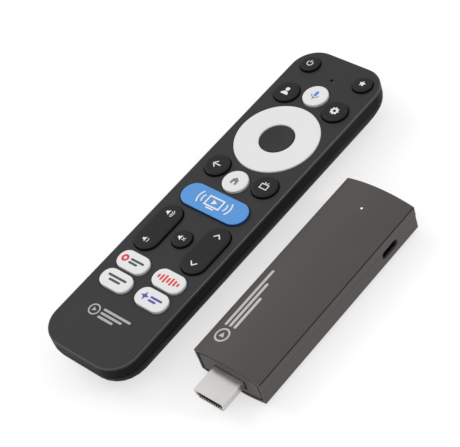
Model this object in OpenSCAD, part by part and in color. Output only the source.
// Streaming media player kit: an HDMI streaming stick beside its remote control.
// Millimetres, +Z up. The origin is under the middle of the kit, on the surface it lies on.
// The remote's top end and the far end of the stick point along +Y.

/* [Kit] */
// Gap between the remote control and the stick
kit_gap = 13.3; // [8:0.1:40]
// Distance from the remote's bottom end to the stick's HDMI end
stick_setback = 25.6; // [12:0.1:60]

/* [Remote case] */
// Width of the remote
remote_w = 42; // [41:0.5:46]
// Length of the remote
remote_l = 164; // [160:1:172]
// Thickness of the remote, from the table to the face
remote_t = 17; // [16.6:0.1:18]
// Corner radius of the remote's outline
corner_r = 11; // [9:0.5:12]
// Thickness of the face plate
face_t = 1.2; // [1:0.1:1.4]
// Wall thickness of the two case halves and the battery cover
case_wall = 1.6; // [1.4:0.1:1.8]
// Width of the bevel around the face
face_bevel = 0.5; // [0.3:0.1:0.7]
// Height of the upper case below the face plate
upper_h = 4; // [4:0.1:4.4]
// How far the rounded underside reaches in from the side
under_in = 15; // [12:0.5:15.5]
// How far the rounded underside reaches in from the bottom end
under_in_low = 20; // [10:1:21]
// How far the rounded underside reaches in from the top end
under_in_top = 40; // [20:1:44]
// How high the rounded underside reaches
under_h = 11; // [9.5:0.1:11.2]
// Length of the battery cover
cover_l = 79; // [77:0.5:81]

/* [Keys] */
// Distance from the remote's top end to the middle of the navigation ring
ring_from_top = 46.8; // [46.5:0.1:48]
// Outer radius of the navigation ring
ring_r = 17.3; // [16.5:0.1:17.4]
// Radius of the round hole in the ring, where the OK key sits
ring_bore_r = 7.25; // [7:0.05:7.6]
// Height of the ring above the face
ring_rise = 0.4; // [0.3:0.1:0.8]
// Radius of the seven larger round keys
key_r = 5.3; // [4.8:0.1:5.35]
// Radius of the power, favourite and mute keys
small_key_r = 4.1; // [3.5:0.1:4.3]
// Height of the keys above the face
key_rise = 1.2; // [0.8:0.1:1.6]
// How far a key travels when pressed
key_travel = 0.5; // [0.2:0.05:0.5]
// Gap between a key and its hole in the face
key_gap = 0.25; // [0.2:0.05:0.3]
// Width of the live television key
live_w = 31.6; // [28:0.2:32]
// Height of the live television key, along the remote
live_l = 11; // [10:0.2:11.2]
// Width of a rocker key
rocker_w = 10.7; // [9:0.1:10.8]
// Length of a rocker key
rocker_l = 23.4; // [20:0.2:23.6]
// Width of a shortcut key
app_w = 14.4; // [12:0.2:14.6]
// Height of a shortcut key, along the remote
app_l = 8.4; // [7:0.2:8.4]

/* [Batteries] */
// Diameter of a battery, size AAA
battery_d = 10.5; // [10:0.1:10.5]
// Length of a battery without its positive nub, size AAA
battery_l = 43.3; // [42:0.1:43.5]

/* [Stick] */
// Width of the stick
stick_w = 31; // [29:0.5:34]
// Length of the stick's casing
stick_l = 91; // [88:0.5:98]
// Height of the stick's flat side walls
stick_side_h = 11.2; // [11:0.1:12]
// Rise of the curved top above the side walls
crown_top = 2.2; // [1.5:0.1:3]
// Drop of the curved underside below the side walls
crown_bottom = 2; // [1.8:0.1:2.4]
// Wall thickness of the stick's casing
stick_wall = 1.2; // [1:0.1:1.4]
// Length of the HDMI plug that stands out of the casing
plug_reach = 11.5; // [11:0.1:12.5]
// Distance from the far end to the middle of the USB-C socket
usb_from_end = 16.8; // [14:0.1:20]
// Distance from the far end to the indicator light
led_from_end = 11; // [10:0.1:12]

/* [Hidden] */
e = 0.01;

// Places of the two units in the kit
kit_w = remote_w + kit_gap + stick_w;
remote_x = -kit_w / 2 + remote_w / 2;
stick_x = kit_w / 2 - stick_w / 2;
stick_y = -remote_l / 2 + stick_setback;
ring_y = remote_l / 2 - ring_from_top;

corner_steps = 6;

// Levels inside the remote, from the face down
face_z = remote_t;
flange_t = 0.6;
face_low_z = face_z - face_t;
flange_top_z = face_low_z - 0.1;
flange_low_z = flange_top_z - flange_t;
plunger_z = flange_low_z - 0.2;
rocker_flange_z = face_low_z - 0.95;
board_t = 0.8;
board_top_z = plunger_z - key_travel - 0.3;
board_low_z = board_top_z - board_t;
mat_top_z = board_top_z + 0.4;
dome_h = 0.25;
roof_t = 0.8;
roof_low_z = board_low_z - roof_t;
part_z = face_low_z - upper_h;

// The seam between the lower case and the battery cover
seam_y = -remote_l / 2 + cover_l;
slide_gap = 0.15;
tongue_w = 9;
tongue_l = 3;
tongue_t = 0.7;
tongue_z = 0.8;

// Centres of the keys, measured from the middle of the navigation ring
power_at = [-13.2, 38.2];
favourite_at = [13.2, 38.2];
profile_at = [-12.2, 21.5];
voice_at = [0, 24.8];
settings_at = [12.2, 21.5];
back_at = [-12.1, -22.1];
home_at = [0, -25.4];
guide_at = [12.1, -22.1];
live_at = [0, -37.9];
volume_at = [-12.1, -57.2];
mute_at = [0, -57.2];
channel_at = [12.1, -57.2];
shortcut_pitch = [18.2, 9.7];
shortcut_1_at = [-shortcut_pitch.x / 2, -75];
shortcut_2_at = shortcut_1_at + [shortcut_pitch.x, 0];
shortcut_3_at = shortcut_1_at - [0, shortcut_pitch.y];
shortcut_4_at = shortcut_2_at - [0, shortcut_pitch.y];
mic_at = [0, 35.1];
mic_hole_d = 1.3;
LARGE_KEYS = [profile_at, voice_at, settings_at, back_at, home_at, guide_at];
SMALL_KEYS = [power_at, favourite_at, mute_at];
ROCKERS = [volume_at, channel_at];
SHORTCUTS = [shortcut_1_at, shortcut_2_at, shortcut_3_at, shortcut_4_at];
rocker_dome = [0, 7];
ring_dome_r = 13;
dish_depth = 0.45;
app_corner_r = 3.9;
flange_w = 0.6;
app_flange_w = 0.4;
cap_z = face_z + key_rise;
rim = 0.5;
rim_drop = 0.1;
crown_in = 1.4;
plunger_r = 1.5;
rocker_flange_t = 0.3;
rocker_rib_r = 0.4;
dome_d = 5;
ring_hook_r = ring_r + 0.6;
screw_at = [14.6, -97];
screw_d = 1.8;
screw_head_d = 3.6;
screw_head_h = 1.2;
boss_d = 4;

// Chips under the board: place of the middle, then width and length
CHIPS = [[0, 4, 6, 6], [8, 2, 3.2, 2.5], [-8, 6, 3.2, 1.6], [-8, 0, 3.2, 1.6], [5, 14, 5, 4]];
remote_chip_t = 0.9;

// Battery bay
bay_floor_z = case_wall + 0.3;
battery_z = bay_floor_z + battery_d / 2;
battery_pitch = 11.2;
nub_l = 1.2;
spring_room = 5.5;
plate_t = 0.4;
bay_half_w = battery_pitch / 2 + battery_d / 2 + 0.35;
bay_wall = 1.2;
bay_wall_z = bay_floor_z + 1.3;
rib_x = 14;
rib_t = 1.2;
rib_l = 52;
rib_low_z = 2.7;
bay_low_y = -remote_l / 2 + 23;
bay_l = plate_t * 2 + nub_l + battery_l + spring_room;
bay_high_y = bay_low_y + bay_l;

// Levels inside the stick
stick_t = crown_bottom + stick_side_h + crown_top;
flat_cut = 0.25;
top_arc_r = pow(stick_w / 2, 2) / (2 * crown_top) + crown_top / 2;
bottom_drop = crown_bottom + flat_cut;
bottom_arc_r = pow(stick_w / 2, 2) / (2 * bottom_drop) + bottom_drop / 2;
stick_part_z = crown_bottom + stick_side_h * 0.6;
plug_w = 13.9;
plug_h = 4.45;
plug_z = 6.9;
plug_wall = 0.3;
plug_back_y = 8.5;
slot_l = 9.5;
usb_w = 8.94;
usb_h = 3.26;
usb_z = plug_z;
usb_y = stick_l - usb_from_end;
led_y = stick_l - led_from_end;
stick_board_top_z = usb_z - usb_h / 2;
stick_board_t = 1;
stick_board_low_z = stick_board_top_z - stick_board_t;
stick_board_w = stick_w - 2 * stick_wall - 1;
stick_board_y = 9;
stick_board_l = stick_l - stick_wall - 0.5 - stick_board_y;
chip_t = 1.3;
can_h = 2.4;
can_size = [23, 34];
can_y = 35;
can_wall = 0.25;
pad_t = 0.6;
spreader_size = [24, 42, 1];
usb_sink = 0.4;
usb_depth = 7.4;
usb_wall = 0.3;
tongue_reach = 6.2;
light_d = 1;
cap_inset = 1.9;
cap_recess = 0.1;
cap_t = 1.6;

// ---------- Helpers ----------
module on_remote(at = [0, 0]) translate([remote_x + at.x, ring_y + at.y, 0]) children();
module on_stick() translate([stick_x, stick_y, 0]) children();

// Outline with four equal round corners, round the origin
module rounded_rect(w, l, r) {
    square([w - 2 * r, l], center = true);
    square([w, l - 2 * r], center = true);
    for (sx = [-1, 1], sy = [-1, 1])
        translate([sx * (w / 2 - r), sy * (l / 2 - r)]) circle(r, $fn = 64);
}

module rounded_block(w, l, r, z, h) translate([0, 0, z]) linear_extrude(h) rounded_rect(w, l, r);

// The remote's outline drawn in by an inset, as a slab
module remote_slab(inset, z, h)
    translate([remote_x, 0, 0])
        rounded_block(remote_w - 2 * inset, remote_l - 2 * inset, max(corner_r - inset, 1), z, h);

// Points round the outline of the bowl at one height, drawn in from the sides and from each end
function outline_ring(wall, in_x, in_low, in_top, z) =
    let (half_w = remote_w / 2 - in_x, r = min(corner_r - wall, half_w - 1)) [
        for (corner = [[1, 1], [-1, 1], [-1, -1], [1, -1]], i = [0:corner_steps])
            let (quarter = corner.x > 0 ? (corner.y > 0 ? 0 : 3) : (corner.y > 0 ? 1 : 2),
                 a = 90 * (i / corner_steps + quarter))
            [remote_x + corner.x * (half_w - r) + r * cos(a),
             corner.y * (remote_l / 2 - r) - (corner.y > 0 ? in_top : -in_low) + r * sin(a), z]
    ];

// The bowl of the lower case and the battery cover, drawn in by a wall thickness
module bowl(wall, top_z) {
    rise = under_h - wall;
    rings = concat(
        [for (a = [90:-10:0]) let (k = 1 - cos(a))
            outline_ring(wall, wall + (under_in - wall / 2) * k, wall + (under_in_low - wall / 2) * k,
                wall + (under_in_top - wall / 2) * k, wall + rise * (1 - sin(a)))],
        [outline_ring(wall, wall, wall, wall, top_z)]
    );
    n = len(rings[0]);
    last = len(rings) - 1;
    polyhedron(
        points = [for (ring = rings, p = ring) p],
        faces = concat(
            [[for (j = [0:n - 1]) j]],
            [for (i = [0:last - 1], j = [0:n - 1])
                [i * n + j, (i + 1) * n + j, (i + 1) * n + (j + 1) % n, i * n + (j + 1) % n]],
            [[for (j = [n - 1:-1:0]) last * n + j]]
        )
    );
}

// Everything on the remote below a line across it
module below_y(y, h)
    translate([remote_x - remote_w, -remote_l, -1]) cube([2 * remote_w, remote_l + y, h + 1]);

module at_both_screws() for (sx = [-1, 1]) on_remote([sx * screw_at.x, screw_at.y]) children();

// Places of the contact domes under the keys
module at_domes() {
    for (at = concat(LARGE_KEYS, SMALL_KEYS, SHORTCUTS, [live_at, [0, 0]])) on_remote(at) children();
    for (at = ROCKERS, s = [-1, 1]) on_remote(at + s * rocker_dome) children();
    for (a = [0:90:270]) on_remote(ring_dome_r * [cos(a), sin(a)]) children();
}

// Holes for all the keys, grown by a gap round each key
module key_holes(grow, z, h) {
    for (at = LARGE_KEYS) on_remote(at) translate([0, 0, z]) cylinder(h = h, r = key_r + grow, $fn = 96);
    for (at = SMALL_KEYS) on_remote(at) translate([0, 0, z])
        cylinder(h = h, r = small_key_r + grow, $fn = 96);
    for (at = ROCKERS) on_remote(at)
        rounded_block(rocker_w + 2 * grow, rocker_l + 2 * grow, rocker_w / 2 + grow - e, z, h);
    for (at = SHORTCUTS) on_remote(at)
        rounded_block(app_w + 2 * grow, app_l + 2 * grow, app_corner_r + grow, z, h);
    on_remote(live_at) rounded_block(live_w + 2 * grow, live_l + 2 * grow, live_l / 2 + grow - e, z, h);
}

// A round key: a cap with a bevelled rim, a flange that the face plate holds down, and a plunger
module round_key(at, r)
    on_remote(at) rotate_extrude($fn = 96) polygon([
        [0, plunger_z], [plunger_r, plunger_z], [plunger_r, flange_low_z], [r + flange_w, flange_low_z],
        [r + flange_w, flange_top_z], [r, flange_top_z], [r, cap_z - rim],
        [r - rim, cap_z - rim_drop], [r - crown_in, cap_z], [0, cap_z]
    ]);

// The cap of a long key, from a level up to its bevelled rim and its crown
module key_cap(w, l, r, low_z) {
    rounded_block(w, l, r, low_z, cap_z - rim - low_z);
    hull() {
        rounded_block(w, l, r, cap_z - rim - e, e);
        rounded_block(w - 2 * rim, l - 2 * rim, r - rim, cap_z - rim_drop, e);
        rounded_block(w - 2 * crown_in, l - 2 * crown_in, r - crown_in, cap_z - e, e);
    }
}

// A long key with its flange and its plunger
module long_key(at, w, l, r, flange)
    on_remote(at) {
        key_cap(w, l, r, flange_top_z - e);
        rounded_block(w + 2 * flange, l + 2 * flange, r + flange, flange_low_z, flange_t);
        translate([0, 0, plunger_z]) cylinder(h = flange_low_z - plunger_z + e, r = plunger_r, $fn = 48);
    }

// A rocker key: its flange sits lower, which leaves it room to tip both ways on a round rib
module rocker_key(at)
    on_remote(at) {
        r = rocker_w / 2 - e;
        key_cap(rocker_w, rocker_l, r, rocker_flange_z);
        rounded_block(rocker_w + 2 * flange_w, rocker_l + 2 * flange_w, r + flange_w,
            rocker_flange_z, rocker_flange_t);
        translate([0, 0, rocker_flange_z + rocker_flange_t / 2]) rotate([0, 90, 0])
            cylinder(h = rocker_w - 2, r = rocker_rib_r, center = true, $fn = 32);
    }

// ---------- Remote: casing ----------
module face_plate()
    color("#424243") {
        difference() {
            hull() {
                remote_slab(0, face_low_z, face_t - face_bevel);
                remote_slab(face_bevel, face_z - e, e);
            }
            key_holes(key_gap, face_low_z - 1, face_t + 2);
            on_remote() translate([0, 0, face_low_z - 1])
                cylinder(h = face_t + 2, r = ring_r + key_gap, $fn = 128);
            on_remote(mic_at) translate([0, 0, face_low_z - 1])
                cylinder(h = face_t + 2, d = mic_hole_d, $fn = 32);
        }
        at_both_screws() translate([0, 0, board_top_z]) difference() {
            cylinder(h = face_low_z - board_top_z + e, d = boss_d, $fn = 48);
            translate([0, 0, -e]) cylinder(h = 1.5, d = screw_d, $fn = 32);
        }
    }

module upper_case()
    color("#1e1e1f") difference() {
        remote_slab(0, part_z, upper_h);
        remote_slab(case_wall, part_z - 1, upper_h + 2);
        translate([remote_x - 4, remote_l / 2 - case_wall - 1, face_low_z - 3.6]) cube([8, case_wall + 2, 3]);
    }

// Front of the bowl, the bulkhead at the seam, and the roof and walls of the battery bay
module lower_case()
    color("#1c1c1d") {
        difference() {
            bowl(0, part_z);
            difference() {
                bowl(case_wall, part_z + 1);
                below_y(seam_y + case_wall, part_z + 2);
            }
            below_y(seam_y, part_z + 2);
            translate([remote_x - tongue_w / 2 - 0.4, seam_y - 1, tongue_z - slide_gap])
                cube([tongue_w + 0.8, tongue_l + 1.4, tongue_t + 2 * slide_gap]);
        }
        for (sx = [-1, 1]) translate([remote_x + sx * rib_x - rib_t / 2, seam_y + 1, rib_low_z])
            cube([rib_t, rib_l, board_low_z - rib_low_z]);
        difference() {
            union() {
                intersection() {
                    remote_slab(case_wall + 0.3, roof_low_z, roof_t);
                    below_y(seam_y + 4, remote_t);
                }
                translate([remote_x - 8, seam_y + 0.2, part_z - 2])
                    cube([16, case_wall - 0.4, board_low_z - part_z + 2 - e]);
                for (x = [-bay_half_w - bay_wall, bay_half_w])
                    translate([remote_x + x, bay_low_y - bay_wall, bay_wall_z])
                        cube([bay_wall, seam_y + 1 - bay_low_y + bay_wall, roof_low_z - bay_wall_z + e]);
                for (y = [bay_low_y - bay_wall, bay_high_y])
                    translate([remote_x - bay_half_w - e, y + e, bay_wall_z])
                        cube([2 * (bay_half_w + e), bay_wall - e, roof_low_z - bay_wall_z + e]);
            }
            at_both_screws() translate([0, 0, roof_low_z - 1]) cylinder(h = 3, d = screw_d + 0.4, $fn = 32);
        }
    }

// The rear of the bowl slides off towards the bottom end. A tongue on its floor laps into the lower case
module battery_cover()
    color("#1c1c1d") {
        difference() {
            intersection() {
                bowl(0, part_z - slide_gap);
                below_y(seam_y - slide_gap, remote_t);
            }
            bowl(case_wall, part_z + 1);
            for (i = [0:4]) translate([remote_x - 6, seam_y - 6 - 2 * i, -1]) cube([12, 0.9, 1.4]);
        }
        translate([remote_x - tongue_w / 2, seam_y - 1, tongue_z]) cube([tongue_w, tongue_l + 1, tongue_t]);
    }

// ---------- Remote: electronics ----------
module remote_circuit_board()
    color("#1f5c3a") difference() {
        remote_slab(case_wall + 0.5, board_low_z, board_t);
        at_both_screws() translate([0, 0, board_low_z - 1])
            cylinder(h = board_t + 2, d = screw_d + 0.6, $fn = 32);
        translate([remote_x - 2, remote_l / 2 - 6, board_low_z - 1]) cube([4, 10, board_t + 2]);
    }

// Bluetooth chip, crystal and capacitors under the board
module remote_chips()
    color("#161618") for (c = CHIPS)
        on_remote() translate([c[0] - c[2] / 2, c[1] - c[3] / 2, board_low_z - remote_chip_t])
            cube([c[2], c[3], remote_chip_t]);

// Silicone sheet over the board, open over the domes, the ring and the two rockers
module key_mat()
    color("#39393b") difference() {
        remote_slab(case_wall + 0.5, board_top_z, mat_top_z - board_top_z);
        at_domes() translate([0, 0, board_top_z - 1]) cylinder(h = 3, d = dome_d + 0.6, $fn = 48);
        on_remote() translate([0, 0, board_top_z - 1]) cylinder(h = 3, r = ring_hook_r + 0.3, $fn = 96);
        for (at = ROCKERS) on_remote(at)
            rounded_block(rocker_w + 2, rocker_l + 2, rocker_w / 2 + 1 - e, board_top_z - 1, 3);
        at_both_screws() translate([0, 0, board_top_z - 1]) cylinder(h = 3, d = boss_d + 1, $fn = 48);
        on_remote(mic_at) translate([-2.4, -2, board_top_z - 1]) cube([4.8, 4, 3]);
        translate([remote_x - 2.5, remote_l / 2 - 6.5, board_top_z - 1]) cube([5, 10, 3]);
    }

module dome_contacts()
    color("#c9c6bd") at_domes() translate([0, 0, board_top_z]) cylinder(h = dome_h, d = dome_d, $fn = 48);

module microphone()
    color("#c8a050") on_remote(mic_at) translate([-1.75, -1.35, board_top_z]) difference() {
        cube([3.5, 2.7, 1]);
        translate([1.75, 1.35, 0.6]) cylinder(h = 1, d = 0.6, $fn = 24);
    }

module infrared_led()
    color("#3a3350") translate([remote_x, remote_l / 2 - 5.2, face_low_z - 2.1]) rotate([-90, 0, 0]) {
        cylinder(h = 0.8, d = 3.6, $fn = 48);
        cylinder(h = 2, d = 3, $fn = 48);
        translate([0, 0, 2]) sphere(d = 3 - e, $fn = 48);
    }

module infrared_window()
    color("#241018") translate([remote_x - 3.95, remote_l / 2 - case_wall, face_low_z - 3.55])
        cube([7.9, case_wall, 2.9]);

// ---------- Remote: batteries ----------
// One cell along Y: the positive end has a nub and faces +Y when dir is 1
module battery(sx, dir)
    translate([remote_x + sx * battery_pitch / 2, 0, battery_z]) {
        spring_y = dir > 0 ? bay_low_y + plate_t + spring_room : bay_high_y - plate_t - spring_room;
        translate([0, spring_y, 0]) rotate([-90 * dir, 0, 0]) {
            cylinder(h = battery_l, d = battery_d, $fn = 96);
            translate([0, 0, battery_l]) cylinder(h = nub_l, d = 3.8, $fn = 48);
        }
    }

module battery_left() color("#3d6b8f") battery(-1, 1);
module battery_right() color("#3d6b8f") battery(1, -1);

// Coil springs at the negative ends: a cone of round turns on a plate
module battery_springs()
    color("#b9b9bd") for (s = [-1, 1]) {
        y = s < 0 ? bay_low_y : bay_high_y;
        translate([remote_x + s * battery_pitch / 2, y, battery_z]) rotate([s * 90, 0, 0]) {
            translate([-4.5, -4.5, 0]) cube([9, 9, plate_t]);
            for (i = [0:4]) translate([0, 0, plate_t + 0.35 + i * 1.1])
                rotate_extrude($fn = 48) translate([3.9 - 0.35 * i, 0]) circle(r = 0.3, $fn = 16);
        }
    }

module battery_plates()
    color("#b9b9bd") for (s = [-1, 1]) {
        y = s < 0 ? bay_high_y - plate_t : bay_low_y;
        translate([remote_x + s * battery_pitch / 2 - 4, y, battery_z - 4]) cube([8, plate_t, 8]);
    }

module case_screws()
    color("#8d8f92") at_both_screws() {
        translate([0, 0, roof_low_z]) cylinder(h = board_top_z + 1.2 - roof_low_z, d = screw_d, $fn = 32);
        translate([0, 0, roof_low_z - screw_head_h]) difference() {
            cylinder(h = screw_head_h, d = screw_head_d, $fn = 48);
            translate([-1.2, -0.25, -e]) cube([2.4, 0.5, 0.6]);
            translate([-0.25, -1.2, -e]) cube([0.5, 2.4, 0.6]);
        }
    }

// ---------- Remote: keys ----------
module power_key() color("#2c2c2d") round_key(power_at, small_key_r);
module favourite_key() color("#2c2c2d") round_key(favourite_at, small_key_r);
module profile_key() color("#2c2c2d") round_key(profile_at, key_r);
module voice_key() color("#e4e4e5") round_key(voice_at, key_r);
module settings_key() color("#2c2c2d") round_key(settings_at, key_r);
module back_key() color("#2c2c2d") round_key(back_at, key_r);
module home_key() color("#e4e4e5") round_key(home_at, key_r);
module guide_key() color("#2c2c2d") round_key(guide_at, key_r);
module mute_key() color("#2c2c2d") round_key(mute_at, small_key_r);
module live_key() color("#5c99d8") long_key(live_at, live_w, live_l, live_l / 2 - e, flange_w);
module volume_rocker() color("#2c2c2d") rocker_key(volume_at);
module channel_rocker() color("#2c2c2d") rocker_key(channel_at);
module shortcut_key(at) color("#e8e8e9") long_key(at, app_w, app_l, app_corner_r, app_flange_w);
module shortcut_key_1() shortcut_key(shortcut_1_at);
module shortcut_key_2() shortcut_key(shortcut_2_at);
module shortcut_key_3() shortcut_key(shortcut_3_at);
module shortcut_key_4() shortcut_key(shortcut_4_at);

// Silicone web under the ring: it tips towards the top and bottom ends
module ring_web()
    color("#39393b") on_remote() translate([0, 0, board_top_z + 0.3]) difference() {
        cylinder(h = 0.35, r = 9.5, $fn = 96);
        translate([0, 0, -1]) cylinder(h = 3, r = 7.6, $fn = 96);
    }

// The ring itself: it tips sideways on its web, and a hook under the face plate holds it in
module navigation_ring()
    color("#dededf") on_remote() rotate_extrude($fn = 128) polygon([
        [ring_bore_r, rocker_flange_z + 0.5], [10.4, rocker_flange_z + 0.5], [10.4, rocker_flange_z],
        [ring_hook_r, rocker_flange_z], [ring_hook_r, rocker_flange_z + 0.3], [ring_r, rocker_flange_z + 0.3],
        [ring_r, face_z + ring_rise - 0.4], [ring_r - 0.4, face_z + ring_rise],
        [ring_bore_r + 0.5, face_z + ring_rise], [ring_bore_r, face_z + ring_rise - 0.4]
    ]);

// Flat key with a shallow dish for the thumb
module ok_key() {
    r = ring_bore_r - key_gap;
    dish_r = r - 0.6;
    top_z = face_z + 0.2;
    color("#3c3c3d") on_remote() rotate_extrude($fn = 96) polygon(concat(
        [[0, plunger_z], [plunger_r, plunger_z], [plunger_r, plunger_z + 0.5], [r, plunger_z + 0.5],
         [r, face_z], [r - 0.3, top_z]],
        [for (i = [5:-1:0]) [dish_r * i / 6, top_z - dish_depth * (1 - pow(i / 6, 2))]]
    ));
}

// ---------- Stick: casing ----------
// Solid with vertical sides, a curved top and a curved underside, drawn in by an inset
module stick_solid(inset, y0, y1)
    intersection() {
        translate([-stick_w / 2 + inset, y0, 0]) cube([stick_w - 2 * inset, y1 - y0, stick_t]);
        translate([0, y0 - 1, stick_t - top_arc_r]) rotate([-90, 0, 0])
            cylinder(h = y1 - y0 + 2, r = top_arc_r - inset, $fn = 256);
        translate([0, y0 - 1, bottom_arc_r - flat_cut]) rotate([-90, 0, 0])
            cylinder(h = y1 - y0 + 2, r = bottom_arc_r - inset, $fn = 256);
    }

module stick_casing()
    difference() {
        stick_solid(0, 0, stick_l);
        stick_solid(stick_wall, -1, stick_l - stick_wall);
    }

module stick_half(z0, z1) translate([-stick_w, -1, z0]) cube([2 * stick_w, stick_l + 2, z1 - z0]);

module stick_top_shell()
    color("#554f4c") on_stick() difference() {
        intersection() {
            stick_casing();
            stick_half(stick_part_z, stick_t + 1);
        }
        translate([0, led_y, stick_part_z]) cylinder(h = 20, d = light_d + 0.1, $fn = 32);
    }

module stick_bottom_shell()
    color("#4e4946") on_stick() {
        difference() {
            intersection() {
                stick_casing();
                stick_half(-1, stick_part_z);
            }
            translate([stick_w / 2 - stick_wall - 1, 0, 0]) hull()
                for (s = [-1, 1]) translate([0, usb_y + s * (usb_w - usb_h) / 2, usb_z]) rotate([0, 90, 0])
                    cylinder(h = 5, d = usb_h + 0.3, $fn = 32);
        }
        for (sx = [-1, 1], y = [20, 50, 80]) translate([sx * 9, y, stick_wall - 0.2])
            cylinder(h = stick_board_low_z - stick_wall + 0.2, d = 3, $fn = 32);
    }

// Plate that closes the HDMI end, set in a little, with a groove round it
module stick_end_cap()
    color("#4e4946") on_stick() difference() {
        union() {
            stick_solid(cap_inset, cap_recess, cap_recess + cap_t + e);
            stick_solid(stick_wall, cap_recess + cap_t, cap_recess + cap_t + 1);
        }
        translate([-plug_w / 2 - 0.3, -1, plug_z - plug_h / 2 - 0.3]) cube([plug_w + 0.6, 6, plug_h + 0.6]);
    }

// ---------- Stick: HDMI plug ----------
// Plug outline: square at the top, with the lower corners cut
module plug_outline(inset) {
    w = plug_w / 2 - inset;
    h = plug_h / 2 - inset;
    polygon([[-w, h], [w, h], [w, -h + 1.7], [w - 1.3, -h + 0.5], [w - 1.3, -h], [-w + 1.3, -h],
             [-w + 1.3, -h + 0.5], [-w, -h + 1.7]]);
}

module along_plug(y0, y1) translate([0, y1, plug_z]) rotate([90, 0, 0]) linear_extrude(y1 - y0) children();

module hdmi_shell()
    color("#c8c6c3") on_stick() difference() {
        along_plug(-plug_reach, plug_back_y) plug_outline(0);
        along_plug(-plug_reach - 1, plug_back_y + 1) plug_outline(plug_wall);
    }

// Plastic block in the plug with a slot for the socket's tongue
module hdmi_insulator()
    color("#d6d2d0") on_stick() difference() {
        along_plug(-plug_reach + 0.2, 11) plug_outline(plug_wall + 0.02);
        translate([-5.9, -plug_reach, plug_z - 0.55]) cube([11.8, slot_l, 1.3]);
        translate([-plug_w, plug_back_y, 0]) cube([2 * plug_w, 10, stick_board_top_z]);
        for (i = [0:9]) translate([-4.85 + i, -plug_reach, plug_z + 0.7]) cube([0.7, slot_l, 0.6]);
        for (i = [0:8]) translate([-4.35 + i, -plug_reach, plug_z - 1.1]) cube([0.7, slot_l, 0.6]);
    }

module hdmi_contacts()
    color("#d8b25a") on_stick() {
        for (i = [0:9]) translate([-4.7 + i, -plug_reach + 1, plug_z + 0.85]) cube([0.4, slot_l - 1, 0.25]);
        for (i = [0:8]) translate([-4.2 + i, -plug_reach + 1, plug_z - 0.9]) cube([0.4, slot_l - 1, 0.25]);
        for (i = [0:18]) translate([-4.65 + i * 0.5, 11, stick_board_top_z]) cube([0.25, 2, 0.2]);
    }

// ---------- Stick: electronics ----------
module stick_circuit_board()
    color("#17402c") on_stick() translate([-stick_board_w / 2, stick_board_y, stick_board_low_z])
        cube([stick_board_w, stick_board_l, stick_board_t]);

module shield_can()
    color("#b7b9bb") on_stick() translate([-can_size.x / 2, can_y - can_size.y / 2, stick_board_top_z])
        difference() {
            cube([can_size.x, can_size.y, can_h]);
            translate([can_wall, can_wall, -1])
                cube([can_size.x - 2 * can_wall, can_size.y - 2 * can_wall, can_h + 1 - can_wall]);
        }

module processor_chip()
    color("#111113") on_stick() translate([-7, can_y - 14, stick_board_top_z]) cube([14, 14, chip_t]);

module memory_chips()
    color("#111113") on_stick() for (x = [-9.5, 1.5])
        translate([x, can_y + 3, stick_board_top_z]) cube([8, 11, 1]);

// Pads from the processor to the can, and from the can to the spreader
module thermal_pads()
    color("#8fa3b8") on_stick() {
        translate([-6, can_y - 13, stick_board_top_z + chip_t]) cube([12, 12, can_h - can_wall - chip_t]);
        translate([-9, can_y - 14, stick_board_top_z + can_h]) cube([18, 28, pad_t]);
    }

module heat_spreader()
    color("#a9acae") on_stick()
        translate([-spreader_size.x / 2, can_y - 20, stick_board_top_z + can_h + pad_t]) cube(spreader_size);

module wireless_module()
    color("#c3c5c6") on_stick() translate([-11, usb_y - 16, stick_board_top_z]) cube([12, 14, 1.8]);

// Bent steel antenna that stands across the far end of the board
module antenna()
    color("#c9b27a") on_stick() {
        translate([-12, stick_l - stick_wall - 3, stick_board_top_z]) cube([16, 0.3, 4]);
        translate([-12, stick_l - stick_wall - 7, stick_board_top_z + 3.7]) cube([16, 4.1, 0.3]);
    }

// USB-C socket in the side wall
module usb_outline(grow) {
    hull() for (s = [-1, 1]) translate([s * (usb_w - usb_h) / 2, 0]) circle(usb_h / 2 + grow, $fn = 32);
}

module on_usb(depth) translate([stick_w / 2 - usb_sink, usb_y, usb_z]) rotate([90, 0, 90])
    translate([0, 0, -depth]) linear_extrude(depth) children();

module usb_shell()
    color("#9b9c9e") on_stick() difference() {
        on_usb(usb_depth) usb_outline(0);
        translate([1, 0, 0]) on_usb(usb_depth + 1 - usb_wall) usb_outline(-usb_wall);
    }

module usb_tongue()
    color("#141416") on_stick()
        translate([stick_w / 2 - usb_sink - usb_depth + usb_wall, usb_y - 3.3, usb_z - 0.35])
            cube([tongue_reach, 6.6, 0.7]);

module indicator_led()
    color("#f2f2ee") on_stick() translate([-0.8, led_y - 0.5, stick_board_top_z]) cube([1.6, 1, 0.6]);

module light_pipe()
    color("#f4f4f4") on_stick() translate([0, led_y, stick_board_top_z + 0.7]) {
        cylinder(h = stick_t - stick_board_top_z - 0.75, d = light_d, $fn = 32);
        cylinder(h = 1.2, d = 3, $fn = 32);
    }

face_plate();
upper_case();
lower_case();
battery_cover();
remote_circuit_board();
remote_chips();
key_mat();
dome_contacts();
microphone();
infrared_led();
infrared_window();
battery_left();
battery_right();
battery_springs();
battery_plates();
case_screws();
power_key();
favourite_key();
profile_key();
voice_key();
settings_key();
ring_web();
navigation_ring();
ok_key();
back_key();
home_key();
guide_key();
live_key();
volume_rocker();
mute_key();
channel_rocker();
shortcut_key_1();
shortcut_key_2();
shortcut_key_3();
shortcut_key_4();
stick_top_shell();
stick_bottom_shell();
stick_end_cap();
hdmi_shell();
hdmi_insulator();
hdmi_contacts();
stick_circuit_board();
shield_can();
processor_chip();
memory_chips();
thermal_pads();
heat_spreader();
wireless_module();
antenna();
usb_shell();
usb_tongue();
indicator_led();
light_pipe();
